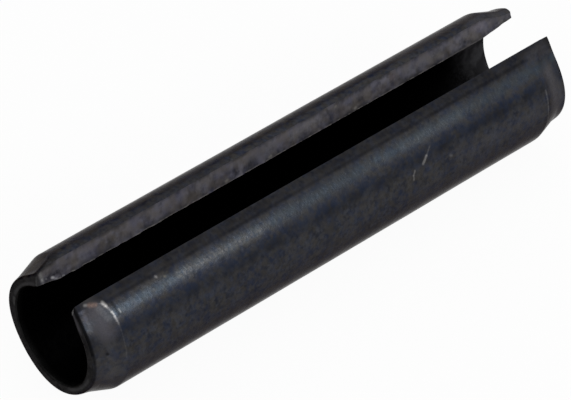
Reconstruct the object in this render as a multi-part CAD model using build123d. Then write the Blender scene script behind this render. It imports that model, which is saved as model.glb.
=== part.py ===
from build123d import *
import os
from dataclasses import dataclass
from math import atan2, cos, degrees, radians, sin

# Slotted spring pin, nominal 8 x 36: steel strip rolled into a tube that stays open along
# one side, with both ends tapered to start in the hole. It lies at rest with the slot up.
# Millimetres. X is the pin's axis, Z points up through the middle of the slot, and the
# origin is on the axis at half the length.

OUTER_DIAMETER = 8.5        # free diameter, before the pin is driven into its 8 mm hole
LENGTH = 36.0
WALL_THICKNESS = 1.3
SLOT_ANGLE = 47.2           # seen from the axis; the strip is cut square, so the lips are radial

ROLLOVER_LENGTH = 0.62      # outer edge of each lip, turned down where the strip was sheared
ROLLOVER_DROP = 0.15        # the inner edge of each lip was left sharp

RIM_ROUND = 0.12            # outer edge of the end faces
MOUTH_ROUND = 0.08          # inner edge of the end faces


@dataclass(frozen=True)
class PinEnd:
    """One end of the pin. Lengths run back from its end face, and a pair of values is for
    the lip on the -Y side and the lip on the +Y side."""
    side: int               # -1 for the -X end, +1 for the +X end
    taper_length: float     # end face to full diameter
    land_length: float      # short blunter land in front of the taper
    land_drop: float        # radius lost where the taper meets the land
    nose_drop: float        # radius lost at the end face
    mouth_length: float     # depth over which the bore opens towards the end
    mouth_flare: float      # radius the bore gains at the end face
    lip_flats: tuple        # degrees over which each lip was left straight in the taper
    corner_rounds: tuple    # corners of the strip, between each lip and the end face


ENDS = (
    PinEnd(side=-1, taper_length=1.95, land_length=0.45, land_drop=0.46, nose_drop=0.52,
           mouth_length=2.2, mouth_flare=0.18, lip_flats=(21.4, 21.4),
           corner_rounds=(0.60, 0.34)),
    PinEnd(side=+1, taper_length=1.85, land_length=0.58, land_drop=0.40, nose_drop=0.45,
           mouth_length=2.5, mouth_flare=0.36, lip_flats=(21.4, 4.0),
           corner_rounds=(0.10, 0.15)),
)

OUTER_RADIUS = OUTER_DIAMETER / 2
BORE_RADIUS = OUTER_RADIUS - WALL_THICKNESS
HALF_SLOT = SLOT_ANGLE / 2
PAST = 1.0                  # how far the cutting shapes run past what they cut


def on_circle(radius, angle):
    """Point of the section, at `angle` degrees from the middle of the slot towards +Y."""
    return Vector(radius * sin(radians(angle)), radius * cos(radians(angle)))


def arc_between(radius, start, end):
    """Arc of the section round the axis, between two angles from the middle of the slot."""
    return ThreePointArc(on_circle(radius, start), on_circle(radius, (start + end) / 2),
                         on_circle(radius, end))


def slot_angle(edge):
    """Angle of an edge's middle from the middle of the slot, towards +Y."""
    middle = edge @ 0.5
    return degrees(atan2(middle.Y, middle.Z))


# ---- rolled strip --------------------------------------------------------------------

def strip_section():
    """Open ring, with the outer edge of both lips turned down."""
    rollover = degrees(ROLLOVER_LENGTH / OUTER_RADIUS)
    lip_radius = OUTER_RADIUS - ROLLOVER_DROP
    outer = arc_between(OUTER_RADIUS, HALF_SLOT + rollover, 360 - HALF_SLOT - rollover)
    edges = [outer, arc_between(BORE_RADIUS, HALF_SLOT, 360 - HALF_SLOT)]
    for lip, arc_end, outward in ((HALF_SLOT, 0, -1), (-HALF_SLOT, 1, 1)):
        lip_edge = on_circle(lip_radius, lip)
        edges.append(TangentArc(outer @ arc_end, lip_edge, tangent=outward * (outer % arc_end)))
        edges.append(Line(lip_edge, on_circle(BORE_RADIUS, lip)))
    return make_face(edges)


def rolled_strip():
    """Strip at full length, with the four corners of its lips rounded."""
    strip = extrude(Plane.YZ.offset(-LENGTH / 2) * strip_section(), LENGTH)
    for end in ENDS:
        for lip, radius in zip((-HALF_SLOT, HALF_SLOT), end.corner_rounds):
            face = strip.faces().filter_by(Axis.X).sort_by(Axis.X)[0 if end.side < 0 else -1]
            corner = face.edges().filter_by(lambda edge: abs(slot_angle(edge) - lip) < 0.01)
            strip = fillet(corner, radius)
    return strip


# ---- ends ----------------------------------------------------------------------------

def taper_stations(end):
    """(x, outer radius) from the full diameter out to the end face."""
    face = end.side * LENGTH / 2
    return ((face - end.side * end.taper_length, OUTER_RADIUS),
            (face - end.side * end.land_length, OUTER_RADIUS - end.land_drop),
            (face, OUTER_RADIUS - end.nose_drop))


def lip_ridge(end):
    """Straight lips of one taper: two planes that touch it and meet over the slot."""
    low = -HALF_SLOT - end.lip_flats[0]
    high = HALF_SLOT + end.lip_flats[1]
    kites = []
    for x, radius in taper_stations(end):
        crest = on_circle(radius / cos(radians(high - low) / 2), (low + high) / 2)
        kite = Polyline([(0, 0), on_circle(radius, high), crest, on_circle(radius, low)],
                        close=True)
        kites.append(Plane.YZ.offset(x) * make_face(kite))
    return loft(kites, ruled=True)


def end_envelope():
    """Solid that both ends are shaped by: turned tapers, lip ridges and rounded rims."""
    left, right = (taper_stations(end) for end in ENDS)
    profile = Polyline([(left[-1][0], 0), *left[::-1], *right, (right[-1][0], 0)], close=True)
    envelope = revolve(make_face(profile), axis=Axis.X)
    for end in ENDS:
        envelope += lip_ridge(end)
    rims = [face.edges() for face in envelope.faces().filter_by(Axis.X).sort_by(Axis.X)]
    return fillet(rims[0] + rims[-1], RIM_ROUND)


def bore_mouth(end):
    """Cutter that opens the bore towards one end face and rounds the mouth's edge."""
    face = end.side * LENGTH / 2
    mouth_radius = BORE_RADIUS + end.mouth_flare
    outline = Polyline([(face - end.side * end.mouth_length, 0),
                        (face - end.side * end.mouth_length, BORE_RADIUS),
                        (face, mouth_radius), (face, mouth_radius + PAST),
                        (face + end.side * PAST, mouth_radius + PAST),
                        (face + end.side * PAST, 0)], close=True)
    profile = make_face(outline)
    mouth_edge = profile.vertices().sort_by_distance((face, mouth_radius))[0]
    return revolve(fillet(mouth_edge, MOUTH_ROUND), axis=Axis.X)


def spring_pin():
    """Rolled strip with both ends shaped and its bore opened at both mouths."""
    pin = rolled_strip() & end_envelope()
    for end in ENDS:
        pin -= bore_mouth(end)
    return pin


os.makedirs("parts", exist_ok=True)
export_step(spring_pin(), "parts/pin_body.step")
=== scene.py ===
import logging
from collections.abc import Sequence
from dataclasses import dataclass, field
from enum import Enum
from typing import Any

import bpy
import numpy as np
from mathutils import Matrix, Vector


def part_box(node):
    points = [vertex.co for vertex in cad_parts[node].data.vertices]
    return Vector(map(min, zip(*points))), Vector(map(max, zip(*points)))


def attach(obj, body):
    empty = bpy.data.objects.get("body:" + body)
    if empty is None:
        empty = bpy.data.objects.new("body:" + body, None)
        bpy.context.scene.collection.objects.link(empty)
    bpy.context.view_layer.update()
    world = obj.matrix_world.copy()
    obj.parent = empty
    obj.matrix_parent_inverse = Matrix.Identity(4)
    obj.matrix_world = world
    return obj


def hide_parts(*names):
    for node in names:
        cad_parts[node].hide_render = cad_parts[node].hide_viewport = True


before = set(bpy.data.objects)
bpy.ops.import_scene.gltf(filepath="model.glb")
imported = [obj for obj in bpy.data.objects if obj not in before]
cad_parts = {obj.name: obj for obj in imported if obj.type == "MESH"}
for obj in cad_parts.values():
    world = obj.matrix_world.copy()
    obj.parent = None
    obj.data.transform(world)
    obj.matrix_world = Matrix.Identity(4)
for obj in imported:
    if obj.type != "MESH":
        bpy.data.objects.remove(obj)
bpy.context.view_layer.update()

MM = 0.001                      # sizes below are in millimetres, and meshes are in metres
NODE = "pin_body"
RIPPLE_SEED, TEAR_SEED, TOOTH_SEED, PATCH_SEED = 11, 21, 31, 41     # random lattices
PLACE_PASSES = 2                # the radius needs the angle, and the angle the radius
SMALL = 1e-6                    # keeps a division by a mark's length away from zero
CLOUD_HEIGHT = 0.7              # share of the clouds in the relief, the rest being grain
SHARP_ANGLE = 38.0              # degrees past which an edge between two faces is sharp
MIX_SHARE, MIX_FIRST, MIX_SECOND, MIX_RESULT = 0, 6, 7, 2   # colour sockets of a Mix node

log = logging.getLogger("spring_pin")
Array = np.ndarray
Socket = bpy.types.NodeSocket
Value = float | Sequence[float] | Socket
Pair = tuple[float, float]
Triple = tuple[float, float, float]


# ---- surfaces ------------------------------------------------------------------------

def soft_min(a: Array, b: Array, blend: float) -> Array:
    """The smaller of two fields, rounded where they cross: min(a, b) less
    blend * ln(1 + exp(-|a - b| / blend)), which is never above either. The larger of two
    fields is minus this of both negated.

    Args:
        a: first field.
        b: second field.
        blend: how far round the crossing the rounding reaches.

    Returns:
        The blended field.
    """
    return np.minimum(a, b) - blend * np.log1p(np.exp(-np.abs(a - b) / blend))


def lattice_noise(u: Array, v: Array, seed: int) -> Array:
    """Value noise in 0 to 1: random values on a unit lattice, joined with the S-curve
    f * f * (3 - 2 f) of each fraction f.

    Args:
        u: first coordinate, in lattice cells.
        v: second coordinate, in lattice cells.
        seed: which random lattice.

    Returns:
        Noise of the shape that u and v give together.
    """
    cells = 97
    table = np.random.default_rng(seed).random((cells, cells))
    u, v = np.broadcast_arrays(u, v)
    left, low = np.floor(u).astype(int), np.floor(v).astype(int)
    f, g = u - left, v - low
    f, g = f * f * (3 - 2 * f), g * g * (3 - 2 * g)
    i, j = left % cells, low % cells
    k, m = (i + 1) % cells, (j + 1) % cells
    return ((table[i, j] * (1 - f) + table[k, j] * f) * (1 - g)
            + (table[i, m] * (1 - f) + table[k, m] * f) * g)


def wave_sum(parts: Sequence[Pair], angle: Array) -> Array:
    """Sum of waves round a circle: a cos(n angle) + b sin(n angle) for n = 1, 2 and on.

    Args:
        parts: a and b of each wave.
        angle: degrees round the circle.

    Returns:
        The sum at each angle.
    """
    pairs, turn = np.array(parts), np.radians(angle)
    count = np.arange(1, len(pairs) + 1)[:, None]
    return pairs[:, 0] @ np.cos(count * turn) + pairs[:, 1] @ np.sin(count * turn)


def quarter_round(beyond: Array, radius: float) -> Array:
    """Depth lost to a quarter-circle edge round: radius - sqrt(radius^2 - beyond^2).

    Args:
        beyond: distance past the start of the round, cut off at 0 and at the radius.
        radius: radius of the round.

    Returns:
        Depth lost at each place.
    """
    beyond = np.clip(beyond, 0.0, radius)
    return radius - np.sqrt(radius ** 2 - beyond ** 2)


def spread(length: float, fine: float, coarse: float, zone: float) -> Array:
    """Places from 0 to a length, closer together near both of its ends.

    Args:
        length: whole length.
        fine: step within the end zones.
        coarse: step between them.
        zone: length of each end zone.

    Returns:
        Rising places, with both ends among them.
    """
    near = np.linspace(0.0, zone, round(zone / fine) + 1)
    middle = np.linspace(zone, length - zone, round((length - 2 * zone) / coarse) + 1)
    return np.concatenate([near, middle[1:-1], length - near[::-1]])


def put_in_scene(name: str, data: bpy.types.ID) -> bpy.types.Object:
    """Puts a mesh, a lamp's light or a camera's lens into the scene, at the origin.

    Args:
        name: name of the object.
        data: what it shows or does.

    Returns:
        The new object.
    """
    made = bpy.data.objects.new(name, data)
    bpy.context.scene.collection.objects.link(made)
    return made


class Side(Enum):
    """The kinds of face of the rolled strip, each with a finish of its own."""
    OUTSIDE = 0
    BORE = 1
    LIP = 2
    END = 3


@dataclass(frozen=True)
class PinEnd:
    """One end of the pin. A pair of values is for the -Y lip and the +Y lip.

    Attributes:
        side: -1 for the -X end, +1 for the +X end.
        taper_length: end face to full diameter.
        land_length: short blunter land in front of the taper.
        land_drop: radius lost where the taper meets the land.
        nose_drop: radius lost at the end face.
        mouth_length: depth over which the bore opens.
        mouth_flare: radius the bore gains at the end face.
        lip_flats: degrees over which each lip was left straight in the taper.
        corner_rounds: corners of the strip, between each lip and the end face, on the
            outside and on the bore.
        lip_turns: length and drop of the turned-down edge of each lip in the taper.
        nose_waves: how far the nose is out of round: cosine and sine parts of one, two,
            three and more waves round it, as shares of its radius.
        shoulder_waves: the same for the place where the taper starts, in mm.
        mouth_waves: the same for the flare of the bore, in mm.
        mouth_lips: length beside each lip and flare that is lost there.
        bore_turns: worn edge of each lip on the bore: length beside the lip, depth at the
            end face, and length along the pin over which it runs out.
    """
    side: int
    taper_length: float
    land_length: float
    land_drop: float
    nose_drop: float
    mouth_length: float
    mouth_flare: float
    lip_flats: Pair
    corner_rounds: tuple[Pair, Pair]
    lip_turns: tuple[Pair, Pair]
    nose_waves: tuple[Pair, ...]
    shoulder_waves: tuple[Pair, ...]
    mouth_waves: tuple[Pair, ...]
    mouth_lips: Pair
    bore_turns: tuple[Triple, Triple]


@dataclass
class RolledStrip:
    """The strip rolled into an open tube, as one closed skin.

    A point of the wall is given by x along the axis, by depth from the outside (0) to the
    bore (1), and by turn from the -Y lip (0) round the back to the +Y lip (1). The skin is
    the six sides of that block, sewn together along their shared edges.
    """
    diameter: float = 8.5
    length: float = 36.0
    wall: float = 1.3
    slot_angle: float = 47.2
    rollover_length: float = 0.62
    rollover_drop: float = 0.15
    rim_round: float = 0.12
    mouth_round: float = 0.08
    shoulder_blend: float = 0.012
    land_blend: float = 0.010
    ripple: float = 0.010
    ripple_cells: Pair = (3.1, 2.3)             # mm along the pin, mm round it
    tear: float = 0.030
    tear_cells: Pair = (0.42, 3.1)              # mm along the pin, cells through the wall
    burr: float = 0.085
    tooth: float = 0.33
    burr_patch: float = 4.0
    along_steps: Triple = (0.058, 0.19, 2.4)    # fine step, coarse step, length of fine zone
    around_steps: Triple = (0.07, 0.19, 0.9)
    rim_steps: int = 7
    depth_steps: int = 15
    ends: tuple[PinEnd, PinEnd] = (
        PinEnd(side=-1, taper_length=1.82, land_length=0.45, land_drop=0.445, nose_drop=0.52,
               mouth_length=2.2, mouth_flare=0.173, lip_flats=(21.4, 21.4),
               corner_rounds=((0.20, 0.28), (0.04, 0.30)),
               lip_turns=((0.50, 0.16), (0.45, 0.10)),
               nose_waves=((-0.0040, -0.0057), (0.0138, 0.0107), (-0.0050, 0.0063),
                           (0.0154, -0.0032)),
               shoulder_waves=((-0.009, 0.090), (0.0, -0.02)),
               mouth_waves=((0.011, -0.013), (0.067, 0.013)), mouth_lips=(5.0, 0.24),
               bore_turns=((2.0, 0.62, 1.5), (0.9, 0.26, 1.6))),
        PinEnd(side=+1, taper_length=1.85, land_length=0.58, land_drop=0.40, nose_drop=0.45,
               mouth_length=2.5, mouth_flare=0.260, lip_flats=(21.4, 4.0),
               corner_rounds=((0.10, 0.10), (0.15, 0.15)),
               lip_turns=((0.40, 0.05), (0.50, 0.25)),
               nose_waves=((-0.0093, -0.0145), (0.0033, -0.0029), (0.0060, -0.0017),
                           (0.0223, -0.0012)),
               shoulder_waves=((-0.012, 0.051), (0.008, -0.050)),
               mouth_waves=((0.025, 0.022), (-0.010, -0.044)), mouth_lips=(1.0, 0.0),
               bore_turns=((0.5, 0.0, 1.0), (0.5, 0.0, 1.0))))

    @property
    def radius(self) -> float:
        """Outside radius of the body."""
        return self.diameter / 2

    @property
    def half_slot(self) -> float:
        """Half of the slot, in degrees seen from the axis."""
        return self.slot_angle / 2

    def stations(self) -> Array:
        """Places along the axis, closer in the tapers and round the rims, where they go as
        the sine of even steps of angle.

        Returns:
            Rising places in mm, 0 in the middle of the pin.
        """
        inner = spread(self.length - 2 * self.rim_round, *self.along_steps)
        quarter = self.rim_round * np.sin(np.linspace(0, np.pi / 2, self.rim_steps + 1))[1:]
        inner = inner + self.rim_round - self.length / 2
        return np.concatenate([inner[0] - quarter[::-1], inner, inner[-1] + quarter])

    def turns(self) -> Array:
        """Places round the tube from 0 to 1, closer beside the lips."""
        arc = np.radians(360 - self.slot_angle) * self.radius
        return spread(arc, *self.around_steps) / arc

    def lip_distances(self, angle: Array) -> tuple[Array, Array]:
        """Arc length on the body's surface from each lip.

        Args:
            angle: degrees from the middle of the slot, over the -Y side.

        Returns:
            Distances from the -Y lip and from the +Y lip, in mm.
        """
        scale = np.radians(1) * self.radius
        return (angle - self.half_slot) * scale, (360 - self.half_slot - angle) * scale

    def taper_radius(self, end: PinEnd, x: Array, angle: Array) -> Array:
        """Radius that one end is turned to: the higher of two straight lines in x, the
        taper's and the land's, times 1 / cos of the angle from where a straight lip's
        plane touches the taper, times the waves of the nose in proportion to how far
        along the taper the place is, less a parabola at each lip's edge.

        Args:
            end: which end.
            x: places along the axis.
            angle: degrees from the middle of the slot, over the -Y side.

        Returns:
            Radius at each place.
        """
        inside = self.length / 2 - end.side * x
        slope = end.land_drop / (end.taper_length - end.land_length)
        start = end.taper_length + wave_sum(end.shoulder_waves, angle)
        taper = self.radius - slope * (start - inside)
        blunt = (end.nose_drop - end.land_drop) / end.land_length
        land = self.radius - end.land_drop - blunt * (end.land_length - inside)
        lean = np.maximum(self.half_slot + end.lip_flats[0] - angle,
                          angle - (360 - self.half_slot - end.lip_flats[1]))
        ridge = 1 / np.cos(np.radians(np.maximum(lean, 0)))
        along = np.clip(1 - inside / end.taper_length, 0, 1)
        waves = 1 + along * wave_sum(end.nose_waves, angle)
        radius = -soft_min(-taper, -land, self.land_blend) * ridge * waves
        for distance, (length, drop) in zip(self.lip_distances(angle), end.lip_turns):
            radius = radius - drop * np.clip(1 - distance / length, 0, 1) ** 2
        return radius

    def outside_radius(self, x: Array, angle: Array) -> Array:
        """Outside radius: the body's, less a slow ripple and a parabola that turns the outer
        edge of each lip down, then the soft minimum of that and the two tapers, less the
        rim's quarter round.

        Args:
            x: places along the axis.
            angle: degrees from the middle of the slot, over the -Y side.

        Returns:
            Radius at each place.
        """
        arc = np.radians(angle) * self.radius
        along, around = self.ripple_cells
        ripple = self.ripple * lattice_noise(x / along, arc / around, RIPPLE_SEED)
        from_lip = np.minimum(*self.lip_distances(angle))
        turned = np.clip(1 - from_lip / self.rollover_length, 0, 1)
        radius = self.radius - ripple - self.rollover_drop * turned ** 2
        for end in self.ends:
            radius = soft_min(radius, self.taper_radius(end, x, angle), self.shoulder_blend)
        rim = np.abs(x) - (self.length / 2 - self.rim_round)
        return radius - quarter_round(rim, self.rim_round)

    def bore_radius(self, x: Array, angle: Array) -> Array:
        """Radius of the bore: straight, then a straight flare to each mouth, less a
        parabola beside each lip, then each lip's worn edge, a parabola round the bore and
        a straight line along it, then the mouth's quarter round.

        Args:
            x: places along the axis.
            angle: degrees from the middle of the slot, over the -Y side.

        Returns:
            Radius at each place.
        """
        radius = np.full_like(x, self.radius - self.wall)
        for end in self.ends:
            inside = self.length / 2 - end.side * x
            reach, loss = end.mouth_lips
            beside = np.clip(1 - np.minimum(*self.lip_distances(angle)) / reach, 0, 1)
            flare = end.mouth_flare + wave_sum(end.mouth_waves, angle) - loss * beside ** 2
            radius = radius + flare * np.clip(1 - inside / end.mouth_length, 0, 1)
            for off, (near, depth, length) in zip(self.lip_distances(angle), end.bore_turns):
                worn = np.clip(1 - off / near, 0, 1) ** 2
                radius = radius + depth * worn * np.clip(1 - inside / length, 0, 1)
        mouth = np.abs(x) - (self.length / 2 - self.mouth_round)
        return radius + quarter_round(mouth, self.mouth_round)

    def corner(self, lip: int, x: Array, depth: Array) -> Array:
        """How far a lip's cut face draws back where the strip's corners are rounded, by a
        radius that goes straight from the outside's to the bore's.

        Args:
            lip: 0 for the -Y lip, 1 for the +Y lip.
            x: places along the axis.
            depth: 0 on the outside to 1 at the bore.

        Returns:
            Distance drawn back at each place.
        """
        back = np.zeros_like(x)
        for end in self.ends:
            outer, inner = end.corner_rounds[lip]
            radius = outer * (1 - depth) + inner * depth
            back = back + quarter_round(end.side * x - self.length / 2 + radius, radius)
        return back

    def torn_edge(self, lip: int, x: Array, depth: Array) -> Array:
        """How far a lip's cut face stands into the slot: fine hills and hollows over the
        half next to the bore, where the strip tore, and a burr of uneven teeth on the
        bore's edge that grows as the sixth power of depth.

        Args:
            lip: 0 for the -Y lip, 1 for the +Y lip.
            x: places along the axis.
            depth: 0 on the outside to 1 at the bore.

        Returns:
            Distance at each place.
        """
        torn = np.clip(2 * depth - 0.8, 0, 1)
        along, cells = self.tear_cells
        hills = lattice_noise(x / along, depth * cells, TEAR_SEED + lip) - 0.5
        teeth = np.clip(lattice_noise(x / self.tooth, 0 * x, TOOTH_SEED + lip) * 2.2 - 1.2, 0, 1)
        strong = lattice_noise(x / self.burr_patch + 0.3, 0 * x, PATCH_SEED + lip)
        return self.tear * torn * hills + self.burr * strong * teeth * depth ** 6

    def place(self, x: Array, depth: Array, turn: Array) -> tuple[Array, Array]:
        """Points of the wall: radius mixes outside and bore by depth, and the angle mixes
        the two lips by turn, each lip drawn back at its corners and pushed out by its tear.

        Args:
            x: places along the axis.
            depth: 0 on the outside to 1 at the bore.
            turn: 0 at the -Y lip to 1 at the +Y lip.

        Returns:
            Points in metres, one row each, and their angle in degrees.
        """
        first, last = self.half_slot, 360 - self.half_slot
        angle = first + (last - first) * turn
        for _ in range(PLACE_PASSES):
            bore = self.bore_radius(x, angle)
            radius = self.outside_radius(x, angle) * (1 - depth) + bore * depth
            low = first + np.degrees(np.arcsin(self.corner(0, x, depth) / radius))
            high = last - np.degrees(np.arcsin(self.corner(1, x, depth) / radius))
            angle = low + (high - low) * turn
        shift = (np.where(turn == 1, self.torn_edge(1, x, depth), 0)
                 - np.where(turn == 0, self.torn_edge(0, x, depth), 0))
        angle = angle + np.degrees(shift / radius)
        around = np.radians(angle)
        points = np.stack([x, -radius * np.sin(around), radius * np.cos(around)], axis=1)
        return points * MM, angle

    def skin(self) -> "Skin":
        """The block's six sides as one sewn mesh. Each side is a grid of vertex numbers whose
        order makes its faces point outwards.

        Returns:
            The mesh, with coordinates for the finishes.
        """
        xs, turns = self.stations(), self.turns()
        depths = np.linspace(0, 1, self.depth_steps)
        i, j, k = np.indices((len(xs), len(depths), len(turns)))
        on_skin = ((i == 0) | (i == len(xs) - 1) | (j == 0) | (j == len(depths) - 1)
                   | (k == 0) | (k == len(turns) - 1))
        number = np.full(on_skin.shape, -1)
        number[on_skin] = np.arange(on_skin.sum())
        x, depth, turn = xs[i[on_skin]], depths[j[on_skin]], turns[k[on_skin]]
        points, angle = self.place(x, depth, turn)
        across = np.radians(angle) * self.radius
        through = self.wall * depth
        grids = ((number[:, 0, :], Side.OUTSIDE, across), (number[:, -1, ::-1], Side.BORE, across),
                 (number[::-1, :, 0], Side.LIP, -through), (number[:, :, -1], Side.LIP, through),
                 (number[0, ::-1, :], Side.END, through), (number[-1, :, :], Side.END, through))
        quads, sides, laid = [], [], []
        for grid, side, second in grids:
            corners = np.stack([grid[:-1, :-1], grid[:-1, 1:], grid[1:, 1:], grid[1:, :-1]], 2)
            quads.append(corners.reshape(-1, 4))
            sides.append(np.full(len(quads[-1]), side.value))
            first = across if side is Side.END else x
            laid.append(np.stack([first, second], 1)[quads[-1]])
        return Skin(points, np.concatenate(quads), np.concatenate(sides), np.concatenate(laid))


@dataclass
class Skin:
    """A sewn mesh and the coordinates that its finishes read.

    Attributes:
        points: vertices in metres.
        quads: four vertex numbers for each face.
        sides: value of Side for each face.
        laid: for each corner of each face, millimetres along and across its side.
    """
    points: Array
    quads: Array
    sides: Array
    laid: Array

    def make(self, name: str) -> bpy.types.Object:
        """Puts the mesh into the scene.

        Args:
            name: name of the piece.

        Returns:
            The new object, at the origin, with smooth faces and sharp lip edges.
        """
        mesh = bpy.data.meshes.new(name)
        mesh.vertices.add(len(self.points))
        mesh.vertices.foreach_set("co", self.points.astype(np.float32).ravel())
        mesh.loops.add(self.quads.size)
        mesh.loops.foreach_set("vertex_index", self.quads.astype(np.int32).ravel())
        mesh.polygons.add(len(self.quads))
        mesh.polygons.foreach_set("loop_start", np.arange(0, self.quads.size, 4, dtype=np.int32))
        mesh.polygons.foreach_set("material_index", self.sides.astype(np.int32))
        mesh.update(calc_edges=True)
        laid = mesh.uv_layers.new(name="laid")
        laid.data.foreach_set("uv", self.laid.astype(np.float32).ravel())
        mesh.validate()
        mesh.shade_smooth()
        mesh.set_sharp_from_angle(angle=np.radians(SHARP_ANGLE))
        return put_in_scene(name, mesh)


# ---- finishes ------------------------------------------------------------------------

class Graph:
    """Short forms for wiring one node tree."""

    def __init__(self, tree: bpy.types.NodeTree) -> None:
        """Starts on a tree.

        Args:
            tree: the tree to wire.
        """
        self.tree = tree

    @classmethod
    def emptied(cls, owner: bpy.types.Material | bpy.types.World) -> "Graph":
        """Empties the node tree of a material or a world, and starts on it.

        Args:
            owner: the material or the world.

        Returns:
            The graph.
        """
        owner.use_nodes = True
        owner.node_tree.nodes.clear()
        return cls(owner.node_tree)

    def node(self, kind: str, inputs: dict[str | int, Value] | None = None,
             **settings: Any) -> bpy.types.Node:
        """Adds a node.

        Args:
            kind: node type, without the ShaderNode in front.
            inputs: value or socket for each named input.
            **settings: the node's own properties.

        Returns:
            The new node.
        """
        made = self.tree.nodes.new("ShaderNode" + kind)
        for name, value in settings.items():
            setattr(made, name, value)
        for name, value in (inputs or {}).items():
            self.feed(made.inputs[name], value)
        return made

    def feed(self, target: Socket, value: Value) -> None:
        """Links a socket, or sets a value, on one input.

        Args:
            target: the input.
            value: socket, number or numbers.
        """
        if isinstance(value, bpy.types.NodeSocket):
            self.tree.links.new(value, target)
        else:
            target.default_value = value

    def math(self, operation: str, *values: Value, clamp: bool = False) -> Socket:
        """Adds a Math node.

        Args:
            operation: Blender's name of the operation.
            *values: its inputs in order.
            clamp: keep the result in 0 to 1.

        Returns:
            The result.
        """
        inputs = dict(enumerate(values))
        return self.node("Math", inputs, operation=operation, use_clamp=clamp).outputs[0]

    def vector(self, operation: str, *values: Value) -> bpy.types.Node:
        """Adds a Vector Math node.

        Args:
            operation: Blender's name of the operation.
            *values: its inputs in order.

        Returns:
            The node.
        """
        return self.node("VectorMath", dict(enumerate(values)), operation=operation)

    def scale(self, vector: Value, factor: Value) -> Socket:
        """Multiplies a vector by a number.

        Args:
            vector: the vector.
            factor: the number.

        Returns:
            The scaled vector.
        """
        inputs = {0: vector, "Scale": factor}
        return self.node("VectorMath", inputs, operation="SCALE").outputs[0]

    def ramp(self, value: Value, low: Value, high: Value, start: Value = 0.0,
             stop: Value = 1.0) -> Socket:
        """Eases from one number to another as a value passes from low to high.

        Args:
            value: what is read.
            low: reading at which the result is start.
            high: reading at which the result is stop.
            start: first result.
            stop: last result.

        Returns:
            The result.
        """
        inputs = {0: value, 1: low, 2: high, 3: start, 4: stop}
        return self.node("MapRange", inputs, interpolation_type="SMOOTHSTEP").outputs[0]

    def mix(self, share: Value, first: Value, second: Value) -> Socket:
        """Mixes two colours.

        Args:
            share: 0 for the first colour to 1 for the second.
            first: a colour.
            second: a colour.

        Returns:
            The mixed colour.
        """
        made = self.node("Mix", data_type="RGBA")
        for index, value in ((MIX_SHARE, share), (MIX_FIRST, first), (MIX_SECOND, second)):
            self.feed(made.inputs[index], value)
        return made.outputs[MIX_RESULT]

    def noise(self, vector: Value, scale: Value, detail: float = 2.0,
              distortion: float = 0.0) -> Socket:
        """Adds a Noise Texture, and reads its value.

        Args:
            vector: where it is read.
            scale: cells to the unit.
            detail: how many finer layers are added.
            distortion: how far it is stirred.

        Returns:
            The value, about 0.2 to 0.8.
        """
        inputs = {"Vector": vector, "Scale": scale, "Detail": detail, "Distortion": distortion}
        return self.node("TexNoise", inputs).outputs["Fac"]


class Effect:
    """A shader node group with named inputs and outputs."""

    def __init__(self, name: str, inputs: dict[str, tuple[str, Any]],
                 outputs: dict[str, str]) -> None:
        """Starts a group.

        Args:
            name: the group's name.
            inputs: kind of socket and default for each input.
            outputs: kind of socket for each output.
        """
        self.tree = bpy.data.node_groups.new(name, "ShaderNodeTree")
        for label, (kind, default) in inputs.items():
            socket = self.tree.interface.new_socket(label, in_out="INPUT",
                                                    socket_type="NodeSocket" + kind)
            socket.default_value = default
        for label, kind in outputs.items():
            self.tree.interface.new_socket(label, in_out="OUTPUT",
                                           socket_type="NodeSocket" + kind)
        self.graph = Graph(self.tree)
        self.given = self.tree.nodes.new("NodeGroupInput").outputs
        self.result = self.tree.nodes.new("NodeGroupOutput").inputs

    def put(self, graph: Graph, **values: Value) -> bpy.types.NodeOutputs:
        """Places the group in a material.

        Args:
            graph: the material's graph.
            **values: value or socket for inputs, by name.

        Returns:
            The placed group's outputs.
        """
        placed = graph.node("Group", node_tree=self.tree)
        for name, value in values.items():
            graph.feed(placed.inputs[name], value)
        return placed.outputs


def mottle_effect() -> Effect:
    """Cloudy tone of an oxide skin: coarse clouds, finer clouds and a peppery grain added
    in set shares.

    Returns:
        The group: Tone, about 0 to 1, and two clouds of their own, Film and Tint.
    """
    effect = Effect("oxide_mottle",
                    {"Vector": ("Vector", (0, 0, 0)), "Size": ("Float", 1.0)},
                    {"Tone": "Float", "Film": "Float", "Tint": "Float"})
    g, given = effect.graph, effect.given
    place = g.scale(given["Vector"], given["Size"])
    total = 0.0
    for scale, share in ((0.45, 0.5), (1.8, 1.0), (4.5, 1.2)):
        total = g.math("MULTIPLY_ADD", g.noise(place, scale), share, total)
    g.feed(effect.result["Tone"], g.ramp(total, 1.05, 1.65))
    for name, shift, scale, high in (("Film", (7.3, 2.9, 4.1), 1.4, 0.70),
                                     ("Tint", (1.7, 8.4, 3.6), 2.6, 0.66)):
        cloud = g.noise(g.vector("ADD", place, shift).outputs[0], scale)
        g.feed(effect.result[name], g.ramp(cloud, 0.34, high))
    return effect


def grain_effect() -> Effect:
    """Fine scratchy grain that runs round the tube at a slight slant: noise read in
    coordinates squeezed along the axis and drawn out across it.

    Returns:
        The group: Value, 0 to 1.
    """
    effect = Effect("turned_grain",
                    {"Laid": ("Vector", (0, 0, 0)), "Slant": ("Float", -0.25)},
                    {"Value": "Float"})
    fineness, coarseness = 4.5, 1.3         # cells to the mm along the pin and across it
    detail, stirred = 3.0, 0.8
    g, given = effect.graph, effect.given
    parts = g.node("SeparateXYZ", {0: given["Laid"]}).outputs
    along = g.math("MULTIPLY_ADD", parts[1], given["Slant"], parts[0])
    drawn = g.node("CombineXYZ", {0: g.math("MULTIPLY", along, fineness),
                                  1: g.math("MULTIPLY", parts[1], coarseness)}).outputs[0]
    g.feed(effect.result["Value"], g.ramp(g.noise(drawn, 1.0, detail, stirred), 0.36, 0.64))
    return effect


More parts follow.
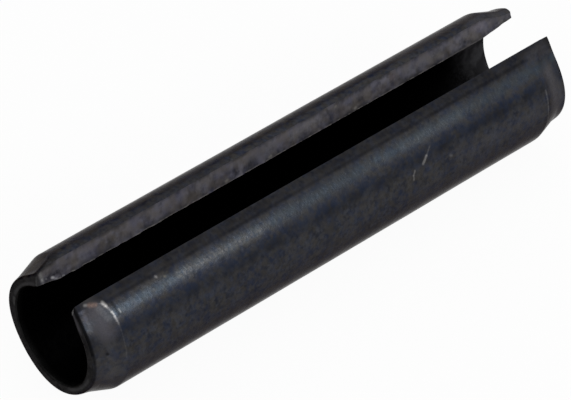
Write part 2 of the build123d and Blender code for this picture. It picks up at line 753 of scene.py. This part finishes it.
def band_effect() -> Effect:
    """Stripe of uneven strength: 1 where a distance is 0, falling to 0 over a half width,
    less a share of noise.

    Returns:
        The group: Mask, 0 to 1.
    """
    effect = Effect("uneven_band",
                    {"Distance": ("Float", 0.0), "Half": ("Float", 0.3),
                     "Place": ("Vector", (0, 0, 0)), "Breaks": ("Float", 1.0),
                     "Uneven": ("Float", 0.5)},
                    {"Mask": "Float"})
    g, given = effect.graph, effect.given
    near = g.ramp(g.math("ABSOLUTE", given["Distance"]), 0.0, given["Half"], 1.0, 0.0)
    cloud = g.ramp(g.noise(given["Place"], given["Breaks"], 3.0), 0.4, 0.6)
    kept = g.math("SUBTRACT", 1.0, g.math("MULTIPLY", given["Uneven"], cloud))
    g.feed(effect.result["Mask"], g.math("MULTIPLY", near, kept))
    return effect


def streak_effect() -> Effect:
    """One short scratch or speck: 1 on the straight line between two places, falling to 0
    over a width, less a share of fine noise. The distance is that to the nearest point of
    the line, found by how far along it the place lies, kept between 0 and 1.

    Returns:
        The group: Mask, 0 to 1.
    """
    effect = Effect("short_streak",
                    {"Laid": ("Vector", (0, 0, 0)), "From": ("Vector", (0, 0, 0)),
                     "To": ("Vector", (0, 0, 0)), "Width": ("Float", 0.05),
                     "Ragged": ("Float", 0.5)},
                    {"Mask": "Float"})
    g, given = effect.graph, effect.given
    line = g.vector("SUBTRACT", given["To"], given["From"]).outputs[0]
    reach = g.vector("SUBTRACT", given["Laid"], given["From"]).outputs[0]
    dot = g.vector("DOT_PRODUCT", reach, line).outputs["Value"]
    square = g.math("MAXIMUM", g.vector("DOT_PRODUCT", line, line).outputs["Value"], SMALL)
    share = g.math("DIVIDE", dot, square, clamp=True)
    nearest = g.scale(line, share)
    off = g.vector("DISTANCE", reach, nearest).outputs["Value"]
    gaps = g.ramp(g.noise(given["Laid"], 7.0), 0.42, 0.58)
    kept = g.math("SUBTRACT", 1.0, g.math("MULTIPLY", given["Ragged"], gaps))
    near = g.ramp(off, 0.0, given["Width"], 1.0, 0.0)
    g.feed(effect.result["Mask"], g.math("MULTIPLY", near, kept))
    return effect


BARE_STEEL = (0.42, 0.41, 0.40)     # what shows where the oxide is scratched through
FLECK = (0.36, 0.35, 0.31)
GLINT = (0.40, 0.40, 0.42)


class Way(Enum):
    """Which of the two laid coordinates a band keeps: along the pin, or across the side."""
    ALONG = 0
    ACROSS = 1


@dataclass(frozen=True)
class Mark:
    """A short scratch, glint, stain, rubbed patch, painted highlight or painted shade, laid out
    along and across its side.

    Attributes:
        start: where it starts, in mm.
        stop: where it stops, in mm.
        width: distance from its line at which it ends, in mm.
        strength: how far it covers what is under it.
        colour: its colour.
        ragged: share of it that fine noise takes away.
    """
    start: Pair
    stop: Pair
    width: float
    strength: float
    colour: Triple = BARE_STEEL
    ragged: float = 0.5


@dataclass(frozen=True)
class Band:
    """A stripe of another colour, or of painted light or shade, at one distance along or across a
    side.

    Attributes:
        way: the coordinate that stays the same on the stripe.
        at: its value on the middle of the stripe, in mm.
        half: half of the stripe's width, in mm.
        colour: colour of the stripe.
        strength: how far it covers what is under it.
        uneven: share of the strength that clouds take away.
        breaks: scale of those clouds.
    """
    way: Way
    at: float
    half: float
    colour: Triple
    strength: float
    uneven: float = 0.5
    breaks: float = 1.0


# Painted light and shade on the outside beside the +Y lip: lighter stretches on the near taper and
# towards the far end, and painted shade over the lip's turned-down edge.
PLUS_Y_SIDE_PAINTED_LIGHT_AND_SHADE = (
    Mark((-17.55, 23.45), (-16.55, 23.2), 0.75, 0.62, (0.088, 0.081, 0.072), 0.5),
    Mark((-17.9, 24.72), (-16.6, 24.74), 0.55, 0.75, (0.009, 0.009, 0.01), 0.3),
    Mark((-14.5, 24.75), (-4.5, 24.75), 0.55, 0.45, (0.018, 0.018, 0.021), 0.3),
    Mark((9.5, 24.15), (15.0, 24.15), 0.55, 0.4, (0.068, 0.064, 0.066), 0.3))
# Painted highlight and shade along the crest beside the -Y lip: lighter and darker stretches that
# make the highlight uneven, painted shade along the dark line above it, the base tone laid back
# over that line at the far end, and a lighter stretch of the lower side.
CREST_PAINTED_HIGHLIGHT_AND_SHADE = (
    Mark((-3.6, 3.2), (1.5, 3.15), 0.85, 0.52, (0.024, 0.027, 0.032), 0.3),
    Mark((-11.4, 3.12), (-5.6, 3.26), 0.42, 0.4, (0.098, 0.093, 0.088), 0.7),
    Mark((5.2, 3.22), (9.6, 3.3), 0.5, 0.32, (0.08, 0.086, 0.094), 0.6),
    Mark((12.0, 3.1), (16.0, 3.1), 0.75, 0.32, (0.028, 0.031, 0.037), 0.4),
    Mark((10.5, 2.45), (15.2, 2.5), 0.35, 0.4, (0.01, 0.01, 0.013), 0.4),
    Mark((15.9, 2.35), (17.3, 2.3), 0.6, 0.6, (0.052, 0.052, 0.06), 0.3),
    Mark((9.0, 5.6), (15.5, 5.8), 0.9, 0.25, (0.07, 0.07, 0.082), 0.5))
# Painted light on both tapers, painted shade round the near rim, a lighter painted stretch at the
# far end of the +Y lip, and the worn line, dark patches and nicks of both tapers, with the rust at
# the near end of the -Y lip.
TAPER_WEAR_AND_PAINTED_LIGHT = (
    # Painted highlight on the far taper.
    Mark((16.8, 3.8), (17.2, 7.8), 1.0, 0.7, (0.092, 0.09, 0.098), 0.2),
    Mark((16.05, 4.6), (16.2, 7.5), 0.1, 0.12),
    # Painted highlight on the near taper.
    Mark((-17.05, 2.7), (-16.8, 4.0), 0.95, 0.75, (0.074, 0.071, 0.082), 0.2),
    # Painted shade round the near rim, in two lines.
    Mark((-17.82, 1.9), (-17.78, 4.8), 0.25, 0.6, (0.018, 0.018, 0.02), 0.3),
    Mark((-17.97, 1.75), (-17.97, 5.0), 0.17, 0.8, (0.003, 0.003, 0.003), 0.1),
    # Painted highlight on the near taper next to the shoulder.
    Mark((-16.72, 2.5), (-16.48, 3.3), 0.34, 0.4, (0.17, 0.175, 0.19), 0.3),
    Mark((-15.95, 2.6), (-15.88, 3.3), 0.16, 0.6, (0.01, 0.01, 0.01), 0.2),
    Mark((-15.75, 3.12), (-15.72, 3.3), 0.11, 0.14, ragged=0.0),
    # Painted light at the far end of the +Y lip's side.
    Mark((15.2, 24.55), (17.8, 24.35), 0.9, 0.6, (0.066, 0.064, 0.07), 0.3),
    Mark((-17.15, 5.3), (-17.13, 5.34), 0.16, 0.7, (0.004, 0.004, 0.004), 0.0),
    Mark((-17.13, 2.11), (-16.85, 2.27), 0.22, 0.62, (0.22, 0.15, 0.125), 0.3))
# Worn bright line that runs round the near shoulder, in short pieces.
SHOULDER_LINE = (
    Mark((-16.44, 2.36), (-16.36, 2.6), 0.17, 0.6, ragged=0.2),
    Mark((-16.36, 2.6), (-16.22, 3.05), 0.12, 0.2),
    Mark((-16.21, 3.05), (-16.19, 3.16), 0.12, 0.26, ragged=0.0),
    Mark((-16.18, 3.32), (-16.16, 3.46), 0.12, 0.2, ragged=0.0),
    Mark((-16.17, 3.2), (-16.12, 3.8), 0.11, 0.16),
    Mark((-16.11, 3.75), (-16.12, 6.0), 0.07, 0.05))
# Nicks in the near taper and the body, and the long scratch in its far half.
NICKS = (
    Mark((-17.34, 1.99), (-17.3, 2.01), 0.15, 0.32, ragged=0.0),
    Mark((-12.82, 2.57), (-12.79, 2.6), 0.14, 0.26, ragged=0.0),
    Mark((-12.34, 2.8), (-12.28, 2.83), 0.12, 0.1, (0.42, 0.38, 0.28)),
    Mark((6.95, 3.98), (6.55, 4.38), 0.1, 0.1),
    Mark((6.55, 4.38), (6.2, 4.72), 0.14, 0.34, ragged=0.3),
    Mark((5.52, 4.84), (5.36, 5.08), 0.11, 0.18),
    Mark((5.36, 5.08), (5.34, 5.36), 0.11, 0.16, ragged=0.2),
    Mark((8.25, 5.18), (8.34, 5.24), 0.14, 0.1, ragged=0.0))
# Lighter and darker stretches of the +Y lip.
LIP_STAINS = (
    Mark((-2.6, 0.6), (-0.9, 0.6), 0.6, 0.4, (0.068, 0.068, 0.078), 0.4),
    Mark((0.7, 0.5), (2.5, 0.45), 0.55, 0.4, (0.19, 0.186, 0.2), 0.5),
    Mark((9.8, 0.65), (12.2, 0.6), 0.55, 0.35, (0.17, 0.165, 0.168), 0.4),
    Mark((-15.0, 1.05), (-11.5, 1.1), 0.45, 0.4, (0.04, 0.04, 0.05), 0.4))
# Bright flecks in the body of the +Y lip.
LIP_FLECKS = (
    Mark((-4.48, 1.12), (-4.4, 1.1), 0.17, 0.36, FLECK, 0.2),
    Mark((-1.25, 1.14), (-1.12, 1.12), 0.16, 0.34, FLECK, 0.2),
    Mark((5.36, 1.12), (5.42, 1.1), 0.16, 0.34, FLECK, 0.2),
    Mark((4.0, 0.28), (4.05, 0.26), 0.15, 0.24, FLECK, 0.2))
# Stains at the far end of the +Y lip.
FAR_LIP_STAINS = (
    Mark((12.5, 1.3), (18.0, 1.3), 0.2, 0.85, (0.062, 0.058, 0.062), 0.3),
    Mark((14.95, 0.25), (15.6, 0.35), 0.45, 0.45, (0.21, 0.19, 0.215), 0.3),
    Mark((16.7, 0.4), (17.8, 0.3), 0.55, 0.65, (0.052, 0.05, 0.058), 0.3))
# Dark patches at the near end of both lips, and painted shade along the outer, end and bore edges
# of their corners.
NEAR_LIP_STAINS_AND_SHADE = (
    Mark((-17.5, 0.5), (-16.2, 0.5), 0.7, 0.4, (0.055, 0.052, 0.062), 0.3),
    # Painted shade along the corner's outer edge.
    Mark((-17.7, 0.0), (-16.95, 0.0), 0.42, 0.85, (0.012, 0.012, 0.012), 0.3),
    Mark((-17.42, 0.98), (-16.62, 0.84), 0.36, 0.9, (0.008, 0.008, 0.012), 0.3),
    # Painted shade along the bore edge and the ends of the corners.
    Mark((-17.5, 1.32), (-16.8, 1.34), 0.16, 0.9, (0.006, 0.006, 0.008), 0.2),
    Mark((-17.98, -0.1), (-17.9, -1.3), 0.4, 0.9, (0.018, 0.018, 0.018), 0.1),
    Mark((-18.0, 0.1), (-17.94, 1.25), 0.28, 0.95, (0.003, 0.003, 0.003), 0.1))
# Painted highlight on the rounded corner at the near end of the +Y lip, bright specks beside it,
# and a spot of rust farther along.
LIP_GLINTS = (
    # Painted highlight of the rounded corner, with its brightest spot.
    Mark((-17.72, 0.2), (-17.68, 1.05), 0.21, 0.75, (0.16, 0.16, 0.158), 0.3),
    Mark((-17.7, 0.8), (-17.68, 0.98), 0.11, 0.4, (0.42, 0.42, 0.41), 0.2),
    Mark((-17.03, 1.06), (-17.0, 1.08), 0.16, 0.62, (0.5, 0.5, 0.52), 0.0),
    Mark((-16.87, 1.2), (-16.8, 1.22), 0.13, 0.3, GLINT, 0.0),
    Mark((-17.45, 0.95), (-17.41, 1.0), 0.1, 0.25, GLINT, 0.0),
    Mark((-16.33, 1.25), (-16.27, 1.27), 0.13, 0.4, GLINT, 0.0),
    Mark((8.37, 0.34), (8.46, 0.46), 0.34, 0.25, (0.14, 0.08, 0.06)))


@dataclass(frozen=True)
class OxideFinish:
    """Dark heat-treatment oxide on steel.

    Attributes:
        name: name of the material.
        dark: colour where the skin is thickest.
        light: colour where it is rubbed thin.
        film: colour of its slow blue clouds.
        tint: colour of its small warm clouds.
        film_share: how far the blue clouds cover what is under them.
        tint_share: the same for the warm clouds.
        metallic: how far the skin is a metal.
        edge: share of the plain reflection that is left at a glancing angle.
        rough: roughness of the darker skin.
        sheen: roughness where it is rubbed.
        grain: depth of the turned grain, in mm.
        slant: slant of the grain.
        size: scale of the clouds.
        brushed: share of the grain in the tone, the rest being clouds.
        bands: stripes of other colours, painted light and shade among them.
        marks: scratches, stains, rubbed patches, painted highlights and painted shade, from the
            lowest up.
    """
    name: str
    dark: Triple
    light: Triple
    film: Triple
    tint: Triple
    film_share: float = 0.46
    tint_share: float = 0.50
    metallic: float = 1.0
    edge: Triple = (0.43, 0.42, 0.415)
    rough: float = 0.30
    sheen: float = 0.25
    grain: float = 0.004
    slant: float = -0.25
    size: float = 1.0
    brushed: float = 0.4
    bands: tuple[Band, ...] = ()
    marks: tuple[Mark, ...] = ()


@dataclass
class OxideShop:
    """Makes the materials, from effects that are built once."""
    mottle: Effect = field(default_factory=mottle_effect)
    grain: Effect = field(default_factory=grain_effect)
    band: Effect = field(default_factory=band_effect)
    streak: Effect = field(default_factory=streak_effect)

    def cover(self, g: Graph, colour: Socket, laid: Socket, place: Socket,
              finish: OxideFinish) -> Socket:
        """Lays a finish's stripes over a colour, and then its marks.

        Args:
            g: the material's graph.
            colour: what is under the stripes.
            laid: millimetres along and across the side.
            place: millimetres in space, for the stripes' clouds.
            finish: the finish.

        Returns:
            The new colour.
        """
        parts = g.node("SeparateXYZ", {0: laid}).outputs
        masks = []
        for band in finish.bands:
            off = g.math("SUBTRACT", parts[band.way.value], band.at)
            masks.append(self.band.put(g, Distance=off, Half=band.half, Place=place,
                                       Breaks=band.breaks, Uneven=band.uneven))
        for mark in finish.marks:
            masks.append(self.streak.put(g, Laid=laid, From=(*mark.start, 0), Width=mark.width,
                                         To=(*mark.stop, 0), Ragged=mark.ragged))
        for mask, over in zip(masks, (*finish.bands, *finish.marks)):
            share = g.math("MULTIPLY", mask["Mask"], over.strength)
            colour = g.mix(share, colour, (*over.colour, 1))
        return colour

    def material(self, finish: OxideFinish) -> bpy.types.Material:
        """Builds one finish.

        Args:
            finish: its colours and depths.

        Returns:
            The material.
        """
        made = bpy.data.materials.new(finish.name)
        g = Graph.emptied(made)
        laid = g.node("UVMap", uv_map="laid").outputs["UV"]
        place = g.scale(g.node("TexCoord").outputs["Object"], 1 / MM)
        clouds = self.mottle.put(g, Vector=place, Size=finish.size)
        grain = self.grain.put(g, Laid=laid, Slant=finish.slant)["Value"]
        tone = g.math("MULTIPLY_ADD", grain, finish.brushed,
                      g.math("MULTIPLY", clouds["Tone"], 1 - finish.brushed))
        colour = g.mix(tone, (*finish.dark, 1), (*finish.light, 1))
        for cloud, share, over in (("Film", finish.film_share, finish.film),
                                   ("Tint", finish.tint_share, finish.tint)):
            colour = g.mix(g.math("MULTIPLY", clouds[cloud], share), colour, (*over, 1))
        colour = self.cover(g, colour, laid, place, finish)
        rough = g.ramp(tone, 0.0, 1.0, finish.rough, finish.sheen)
        height = g.math("MULTIPLY_ADD", clouds["Tone"], CLOUD_HEIGHT,
                        g.math("MULTIPLY", grain, 1 - CLOUD_HEIGHT))
        bump = g.node("Bump", {"Height": height, "Strength": 1.0,
                               "Distance": finish.grain * MM}).outputs["Normal"]
        shader = g.node("BsdfPrincipled", {
            "Base Color": colour, "Metallic": finish.metallic, "Roughness": rough,
            "Specular Tint": (*finish.edge, 1), "Normal": bump})
        g.feed(g.node("OutputMaterial").inputs[0], shader.outputs[0])
        return made


@dataclass
class SpringPin:
    """The whole pin: its rolled strip, dressed side by side."""
    strip: RolledStrip = field(default_factory=RolledStrip)
    outside: OxideFinish = OxideFinish(
        name="rubbed_oxide", dark=(0.017, 0.018, 0.023), light=(0.043, 0.045, 0.053),
        film=(0.018, 0.025, 0.049), tint=(0.046, 0.041, 0.033), brushed=0.22,
        # Painted light: a lighter stripe round the lower side, where the floor is reflected.
        bands=(Band(Way.ACROSS, 7.8, 2.4, (0.062, 0.06, 0.066), 0.45, 0.3, 0.6),
               # Painted shade: a dark stripe below the highlight.
               Band(Way.ACROSS, 4.35, 0.75, (0.011, 0.012, 0.016), 0.7, 0.5),
               # Blue oxide patches, laid along the highlight's lower flank as a painted reflection
               # colour.
               Band(Way.ACROSS, 4.05, 0.6, (0.013, 0.02, 0.04), 0.5, 1.0, 2.4),
               # Painted highlight: a lighter cyan stripe along the crest.
               Band(Way.ACROSS, 3.15, 0.6, (0.04, 0.056, 0.071), 0.5, 0.5, 1.6),
               # Painted shade over the turned-down edge of the -Y lip.
               Band(Way.ACROSS, 2.0, 0.7, (0.009, 0.009, 0.011), 0.6, 0.3),
               # Painted shade: a thin dark line where that turned-down edge starts.
               Band(Way.ACROSS, 2.42, 0.2, (0.007, 0.007, 0.009), 0.6, 0.3),
               # Painted light on both tapers.
               *(Band(Way.ALONG, taper, 0.75, (0.07, 0.066, 0.066), 0.32, 0.8)
                 for taper in (-17.10, 17.05)),
               # Painted shade round the near rim.
               Band(Way.ALONG, -17.95, 0.17, (0.006, 0.006, 0.007), 0.92, 0.3)),
        marks=PLUS_Y_SIDE_PAINTED_LIGHT_AND_SHADE + CREST_PAINTED_HIGHLIGHT_AND_SHADE + TAPER_WEAR_AND_PAINTED_LIGHT + SHOULDER_LINE + NICKS)
    # The bore's near-black colours are painted shade. The stripes at both mouths are painted light
    # where light comes in. The dark mark is painted shade over the far bore seen through the slot.
    bore: OxideFinish = OxideFinish(
        name="bore_oxide_painted_shade", dark=(0.0005, 0.0005, 0.0006), light=(0.0024, 0.0024, 0.0026),
        film=(0.001, 0.0012, 0.0015), tint=(0.0015, 0.0015, 0.0015), rough=0.55, sheen=0.48,
        grain=0.006, bands=(Band(Way.ALONG, 18.0, 4.6, (0.035, 0.035, 0.038), 0.9),
                            Band(Way.ALONG, -18.0, 0.5, (0.014, 0.014, 0.014), 0.8)),
        marks=(Mark((11.4, 23.0), (16.6, 16.0), 1.7, 0.85, (0.001, 0.001, 0.001), 0.4),))
    lip: OxideFinish = OxideFinish(
        name="sheared_lip_oxide", dark=(0.014, 0.014, 0.019), light=(0.134, 0.131, 0.158),
        film=(0.058, 0.060, 0.108), tint=(0.108, 0.092, 0.070), metallic=0.15, rough=0.56,
        sheen=0.44, grain=0.012, slant=0.05, size=0.55, brushed=0.15,
        # The first two stripes are painted light across the +Y lip's cut face and painted shade
        # along the outer edge of both cut faces.
        bands=(Band(Way.ACROSS, 0.36, 0.4, (0.205, 0.2, 0.24), 0.15, 0.6),
               Band(Way.ACROSS, 0.0, 0.24, (0.02, 0.02, 0.024), 0.65, 0.5),
               *(Band(Way.ACROSS, bore_edge, half, colour, 0.8, 1.0, breaks)
                 for bore_edge in (1.30, -1.30)
                 for half, colour, breaks in ((0.42, (0.012, 0.012, 0.014), 1.3),
                                              (0.10, (0.22, 0.21, 0.20), 2.6)))),
        marks=LIP_STAINS + LIP_FLECKS + FAR_LIP_STAINS + NEAR_LIP_STAINS_AND_SHADE + LIP_GLINTS)
    end: OxideFinish = OxideFinish(
        name="end_face_oxide", dark=(0.011, 0.011, 0.012), light=(0.034, 0.034, 0.035),
        film=(0.015, 0.016, 0.018), tint=(0.022, 0.022, 0.022), rough=0.50, sheen=0.40,
        grain=0.006,
        # Lighter patches on the end faces are painted light where they catch it beside the lip
        # corners and round the ring. The dark mark is painted shade along the bore's edge.
        marks=(Mark((1.8, 0.8), (3.2, 0.75), 0.55, 0.6, (0.072, 0.07, 0.08), 0.2),
               Mark((7.8, 0.6), (10.8, 0.8), 0.6, 0.6, (0.062, 0.062, 0.064), 0.3),
               Mark((21.0, 0.95), (24.2, 1.0), 0.5, 0.6, (0.055, 0.055, 0.057), 0.3),
               Mark((20.3, 0.95), (19.9, 1.05), 0.45, 0.6, (0.075, 0.075, 0.075), 0.2),
               Mark((12.8, 1.25), (14.6, 1.25), 0.3, 0.75, (0.006, 0.006, 0.006), 0.2)))

    def build(self, shop: OxideShop) -> bpy.types.Object:
        """Args:
            shop: maker of the materials.

        Returns:
            The piece.
        """
        piece = self.strip.skin().make("spring_pin_strip")
        for finish in (self.outside, self.bore, self.lip, self.end):
            piece.data.materials.append(shop.material(finish))
        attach(piece, "root")
        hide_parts(NODE)
        return piece


# ---- studio --------------------------------------------------------------------------

@dataclass(frozen=True)
class SoftLamp:
    """A soft oblong lamp that points at the pin.

    Attributes:
        name: name of the lamp.
        toward: direction from the pin to the lamp.
        distance: how far away it is, in metres.
        size: its two sides, in metres.
        power: in watts.
    """
    name: str
    toward: Triple
    distance: float
    size: Pair
    power: float

    def make(self) -> None:
        """Puts the lamp into the scene, turned so that its back axis points away."""
        light = bpy.data.lights.new(self.name, "AREA")
        light.shape = "RECTANGLE"
        light.size, light.size_y = self.size
        light.energy = self.power
        back = np.array(self.toward) / np.linalg.norm(self.toward)
        right = np.cross((0, 0, 1), back)
        right /= np.linalg.norm(right)
        place = axes_matrix(right, np.cross(back, right), back, back * self.distance)
        put_in_scene(self.name, light).matrix_world = place


def axes_matrix(right: Array, up: Array, back: Array, place: Array) -> Matrix:
    """Matrix whose columns are three axes and a place.

    Args:
        right: X axis.
        up: Y axis.
        back: Z axis.
        place: origin.

    Returns:
        The 4 x 4 matrix.
    """
    matrix = np.eye(4)
    matrix[:3] = np.stack([right, up, back, place], axis=1)
    return Matrix(matrix.tolist())


def seen_rays(g: Graph) -> Socket:
    """1 for what is looked at, directly, in a reflection or through glass.

    Args:
        g: the graph of the floor or the sky.

    Returns:
        The larger of three ray kinds.
    """
    rays = g.node("LightPath").outputs
    mirrored = g.math("MAXIMUM", rays["Is Glossy Ray"], rays["Is Transmission Ray"])
    return g.math("MAXIMUM", rays["Is Camera Ray"], mirrored)


@dataclass
class Studio:
    """Plain pale floor, soft light and the camera. Places and distances are in metres, and
    the lens and its sensor in mm."""
    floor_size: float = 3.0
    floor_colour: Triple = (0.86, 0.86, 0.86)
    shown_white: float = 0.95       # share of pure white in the floor where it is seen
    sky: float = 0.75
    key: SoftLamp = SoftLamp("key_lamp", toward=(0.085, -0.281, 0.213), distance=0.363,
                             size=(0.16, 0.085), power=0.20)
    camera_place: Triple = (-0.113661, -0.107720, 0.158448)
    camera_right: Triple = (0.746582, -0.660083, 0.083107)
    camera_up: Triple = (0.429936, 0.574022, 0.696893)
    camera_back: Triple = (-0.507710, -0.484549, 0.712348)
    focal_length: float = 245.49
    sensor: float = 36.0
    clip: Pair = (0.01, 20.0)

    def floor(self) -> None:
        """Flat floor under the pin: white where it is looked at, and lit plainly where it
        lights the pin, with a share of the plain light kept so that a shadow shows."""
        half, low = self.floor_size / 2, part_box(NODE)[0].z
        mesh = bpy.data.meshes.new("floor")
        corners = [(-half, -half, low), (half, -half, low), (half, half, low), (-half, half, low)]
        mesh.from_pydata(corners, [], [(0, 1, 2, 3)])
        made = bpy.data.materials.new("pale_floor")
        g = Graph.emptied(made)
        plain = g.node("BsdfDiffuse", {"Color": (*self.floor_colour, 1)}).outputs[0]
        white = g.node("Emission", {"Color": (1, 1, 1, 1), "Strength": 1.0}).outputs[0]
        share = g.math("MULTIPLY", seen_rays(g), self.shown_white)
        mixed = g.node("MixShader", {0: share, 1: plain, 2: white}).outputs[0]
        g.feed(g.node("OutputMaterial").inputs[0], mixed)
        mesh.materials.append(made)
        put_in_scene("floor", mesh)

    def world(self) -> None:
        """Even grey sky that lights the pin, and shows white behind the floor."""
        world = bpy.data.worlds.new("studio_sky")
        g = Graph.emptied(world)
        lit = g.node("Background", {"Color": (1, 1, 1, 1), "Strength": self.sky}).outputs[0]
        seen = g.node("Background", {"Color": (1, 1, 1, 1), "Strength": 1.0}).outputs[0]
        mixed = g.node("MixShader", {0: seen_rays(g), 1: lit, 2: seen}).outputs[0]
        g.feed(g.node("OutputWorld").inputs[0], mixed)
        bpy.context.scene.world = world

    def camera(self) -> None:
        """Camera above the near end, looking down along the slot."""
        lens = bpy.data.cameras.new("camera")
        lens.lens, lens.sensor_width = self.focal_length, self.sensor
        lens.clip_start, lens.clip_end = self.clip
        camera = put_in_scene("camera", lens)
        camera.matrix_world = axes_matrix(*(np.array(v) for v in (
            self.camera_right, self.camera_up, self.camera_back, self.camera_place)))
        bpy.context.scene.camera = camera

    def build(self) -> None:
        """Sets up floor, sky, lamp and camera."""
        self.floor()
        self.world()
        self.key.make()
        self.camera()
        bpy.context.scene.view_settings.view_transform = "Standard"


def main() -> None:
    """Builds the pin, then the studio round it."""
    logging.basicConfig(level=logging.INFO, format="%(message)s")
    pin = SpringPin().build(OxideShop())
    log.info("%s: %d faces", pin.name, len(pin.data.polygons))
    Studio().build()


if __name__ == "__main__":
    main()
